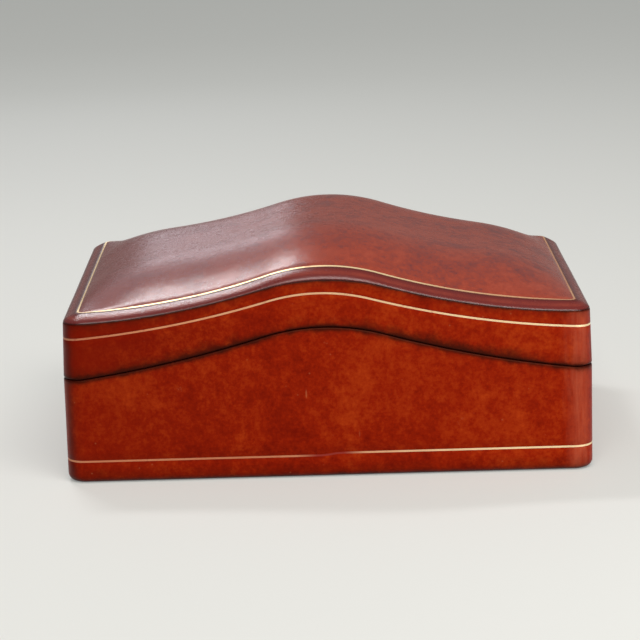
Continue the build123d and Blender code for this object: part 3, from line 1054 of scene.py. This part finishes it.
class STATIONERY_OT_top_leather(bpy.types.Operator):
    """Oxblood leather over the crowned top, turned down over its edge, with its gilt rectangle."""

    bl_idname = "stationery.top_leather"
    bl_label = "Top leather"

    def execute(self, context):
        s = shape()
        top = top_curve()
        half_x = top_half_width()
        inner = s.top_gilt + s.gilt_width + LIP
        radius = s.corner - inner
        edge_steps = (0.18, 0.36, 0.52, 0.66, 0.77, 0.86, 0.92, 0.96, 0.985, 1.0)
        # Each stop is an inset, a share of the way out from the gilt line to the edge, and a drop.
        stops = [
            (inner, 0.0, 0.0),
            (inner - LIP, 0.0, s.gilt_depth),
            (s.top_gilt, 0.0, s.gilt_depth),
            (s.top_gilt - LIP, LIP / s.top_gilt, 0.0),
        ]
        stops += [(s.top_gilt * (1 - share), share, 0.0) for share in edge_steps]
        stops += [(inset * MM, 1.0, drop * MM) for inset, drop in ((0.15, 0.25), (0.4, 0.4), (0.8, 0.45))]

        def edge_drop(x, y, share):
            """Drop below the gilt line's level, by the share of the way out to the edge."""
            return s.edge_slope * share + (edge_fall(x, y) - s.edge_slope) * (1 - math.sqrt(1 - share**2))

        def level(x, y):
            """Height of the crowned top."""
            return drawn_height(x, y, top) + crown_height(x, y)

        def inner_normal(x, y):
            """Outward direction at the rim of the grid, and nothing inside it."""
            away = past_core(x, y, half_x)
            return away.normalized() if away.length > radius - SAME_PLACE else Vector((0.0, 0.0))

        def place(x, y, ring):
            """Where a vertex of the grid or of a ring round it goes."""
            out = inner_normal(x, y)
            if ring == 0 and abs(out.x) < LEVEL and abs(out.y) < LEVEL:
                return x, y, level(x, y) + hand_worked(x, y, 0.0, HAND_TOP) - HAND
            inset, share, drop = stops[ring]
            rounding = s.corner - (s.corner - s.top_gilt_round) * inset / s.top_gilt
            new_x, new_y = drawn_in(x, y, out, inset, rounding, half_x)
            z = level(new_x, new_y) - edge_drop(new_x, new_y, share) - drop
            upright = share**4
            swell = (hand_worked(new_x, new_y, 0.0, HAND_TOP) - HAND) * (1 - upright)
            side = (hand_worked(new_x, new_y, z, HAND) - HAND) * upright
            return new_x + out.x * side, new_y + out.y * side, z + swell

        deselect_all()
        bpy.ops.mesh.primitive_grid_add(x_subdivisions=90, y_subdivisions=64, size=2.0)
        cover = name_piece("top_leather")
        bpy.ops.object.mode_set(mode="EDIT")
        bpy.ops.mesh.select_all(action="SELECT")
        bpy.ops.transform.resize(value=(half_x - inner, HALF_DEPTH - inner, 1.0))
        select_where(cover, "VERT", lambda vertex: len(vertex.link_edges) == 2)
        bpy.ops.mesh.bevel(offset=radius, segments=CORNERS, affect="VERTICES")
        select_where(cover, "EDGE", lambda edge: edge.is_boundary)
        grow_skin(cover, stops, place)

        def inset_of(x, y):
            """How far a point lies in from the top's outline."""
            away = past_core(x, y, half_x).length
            return s.corner - away if away > 0 else min(half_x - abs(x), HALF_DEPTH - abs(y))

        line = thicken(
            cover, "top_gilt_line", 1,
            from_edge=lambda x, y, _z: inset_of(x, y),
            from_lap=lambda x, y, z: z - drawn_height(x, y, top) + edge_fall(x, y),
        )
        give(cover, "lid", "leather_oxblood", oxblood_leather(), "lid_top_leather")
        # Painted highlight: the top's gilt is brighter gold at the left, where the glare lies along the
        # front edge.
        painted_gilt_highlight = falling(0, 100, 0.6)
        give(line, "lid", "brass", gilt("top_gilt", rising(60, 120, 0.3), lambda made: painted_gilt_highlight(made) + 0.5))
        return {"FINISHED"}


class STATIONERY_OT_linings(bpy.types.Operator):
    """Suede on the walls, floor and ceiling, and felt under the foot."""

    bl_idname = "stationery.linings"
    bl_label = "Linings and sole"

    def execute(self, context):
        suede = suede_cloth()
        for node in [name for name in frame["nodes"] if "_lining_" in name]:
            give(softened(node, 0.3 * MM), node.split("_")[0], "suede", suede, node)
        give(softened("base_sole", 0.15 * MM), "base", "felt", felt_cloth(), "base_sole")
        return {"FINISHED"}


class STATIONERY_OT_hardware(bpy.types.Operator):
    """Brass hinges, pins and screws with broken edges."""

    bl_idname = "stationery.hardware"
    bl_label = "Hinges and screws"

    def execute(self, context):
        brass = rubbed_brass()
        hardware = [name for name in frame["nodes"] if "hinge_" in name or "_screws" in name]
        for node in hardware:
            body = "lid" if node.startswith("lid") or "_lid_" in node else "base"
            give(softened(node, 0.12 * MM, 1), body, "brass", brass, node)
        return {"FINISHED"}


class STATIONERY_OT_boards(bpy.types.Operator):
    """Wood on the carcass boards, which stay as they were cut."""

    bl_idname = "stationery.boards"
    bl_label = "Boards"

    def execute(self, context):
        wood = planed_wood()
        sides = ("front", "back", "left", "right")
        walls = [f"{body}_{side}" for body in ("base", "lid") for side in sides]
        for name in ("base_bottom", "lid_top", *walls):
            board = frame["nodes"][name].data
            board.materials.clear()
            board.materials.append(wood)
        return {"FINISHED"}


class STATIONERY_OT_studio(bpy.types.Operator):
    """Pale floor, soft lamps and the camera."""

    bl_idname = "stationery.studio"
    bl_label = "Studio"

    def lamp(self, name, place, aim, size, power, tint=(1.0, 1.0, 1.0)):
        """A rectangular soft lamp turned towards a point."""
        data = bpy.data.lights.new(name, "AREA")
        data.shape = "RECTANGLE"
        data.size, data.size_y = size
        data.energy = power
        data.color = tint
        lamp = bpy.data.objects.new(name, data)
        bpy.context.collection.objects.link(lamp)
        turn = (Vector(aim) - Vector(place)).to_track_quat("-Z", "Y").to_matrix().to_4x4()
        lamp.matrix_world = Matrix.Translation(place) @ turn

    def execute(self, context):
        studio = context.scene.stationery_studio
        deselect_all()
        bpy.ops.mesh.primitive_plane_add(size=16.0)
        floor = name_piece("studio_floor")
        made = Finish("studio_floor")
        ray = made.add("ShaderNodeLightPath", {}, {}, "Is Camera Ray")
        for kind in ("Is Glossy Ray", "Is Transmission Ray"):
            ray = ray + made.add("ShaderNodeLightPath", {}, {}, kind)
        seen = made.blend(ray.clamp(), (0.0, 0.0, 0.0), studio.glow)
        made.finished(
            Base_Color=studio.floor,
            Roughness=0.8,
            Specular_IOR_Level=0.1,
            Emission_Color=seen,
            Emission_Strength=1.0,
        )
        floor.data.materials.append(made.material)

        world = bpy.data.worlds.new("studio_air")
        world.use_nodes = True
        sky = Nodes(world.node_tree)
        seen = sky.blend(sky.add("ShaderNodeLightPath", {}, {}, "Is Camera Ray"), studio.air, studio.far)
        sky.join(world.node_tree.nodes["Background"].inputs["Color"], seen)
        context.scene.world = world

        self.lamp("overhead", (-0.41, 0.60, 1.27), (-0.04, -0.09, 0.1), (0.30, 0.12), 5.8, (1.0, 0.98, 1.0))
        self.lamp("front_fill", (0.35, -1.6, 2.0), (0, 0, 0.05), (2.2, 1.4), 55.0, (1.0, 0.97, 0.93))
        self.lamp("window", (-0.30, 1.515, 0.56), (-0.06, 0, 0.1), (0.22, 0.26), 0.38, (0.90, 0.91, 1.0))
        self.lamp("left_soft", (-0.47, 1.64, 0.96), (-0.06, 0, 0.1), (0.55, 0.80), 0.85, (0.88, 0.92, 1.0))
        self.lamp("right_strip", (0.64, -0.56, 0.17), (0.15, -0.1, 0.05), (0.12, 0.28), 1.6)

        camera_data = bpy.data.cameras.new("camera")
        camera_data.lens = studio.lens
        camera_data.sensor_width = 36.0
        camera = bpy.data.objects.new("camera", camera_data)
        context.collection.objects.link(camera)
        stand = Matrix.Translation(studio.eye)
        for degrees, axis in ((-studio.yaw, "Z"), (90 - studio.pitch, "X"), (studio.roll, "Z")):
            stand @= Matrix.Rotation(math.radians(degrees), 4, axis)
        camera.matrix_world = stand
        context.scene.camera = camera
        context.scene.view_settings.view_transform = "Standard"
        return {"FINISHED"}


class STATIONERY_PT_panel(bpy.types.Panel):
    """The box's steps, in order."""

    bl_label = "Stationery box"
    bl_idname = "STATIONERY_PT_panel"
    bl_space_type = "VIEW_3D"
    bl_region_type = "UI"
    bl_category = "Stationery box"

    def draw(self, context):
        for step in STEPS:
            self.layout.operator(step.bl_idname)
        for name in GROUPS:
            group, column = getattr(context.scene, name), self.layout.column()
            for label in group.__annotations__:
                column.prop(group, label)


STEPS = (
    STATIONERY_OT_base_jacket,
    STATIONERY_OT_lid_jacket,
    STATIONERY_OT_top_leather,
    STATIONERY_OT_linings,
    STATIONERY_OT_hardware,
    STATIONERY_OT_boards,
    STATIONERY_OT_studio,
)
GROUPS = {
    "stationery_shape": StationeryShape,
    "stationery_finish": StationeryFinish,
    "stationery_studio": StationeryStudio,
}
CLASSES = (*GROUPS.values(), *STEPS, STATIONERY_PT_panel)


def register():
    """Makes the settings, operators and panel known."""
    for item in CLASSES:
        bpy.utils.register_class(item)
    for name, group in GROUPS.items():
        setattr(bpy.types.Scene, name, bpy.props.PointerProperty(type=group))


def unregister():
    """Takes them away again."""
    for name in GROUPS:
        delattr(bpy.types.Scene, name)
    for item in reversed(CLASSES):
        bpy.utils.unregister_class(item)


def main():
    """Builds every piece and the stage."""
    register()
    bpy.ops.stationery.base_jacket()
    bpy.ops.stationery.lid_jacket()
    bpy.ops.stationery.top_leather()
    bpy.ops.stationery.linings()
    bpy.ops.stationery.hardware()
    bpy.ops.stationery.boards()
    bpy.ops.stationery.studio()


if __name__ == "__main__":
    main()
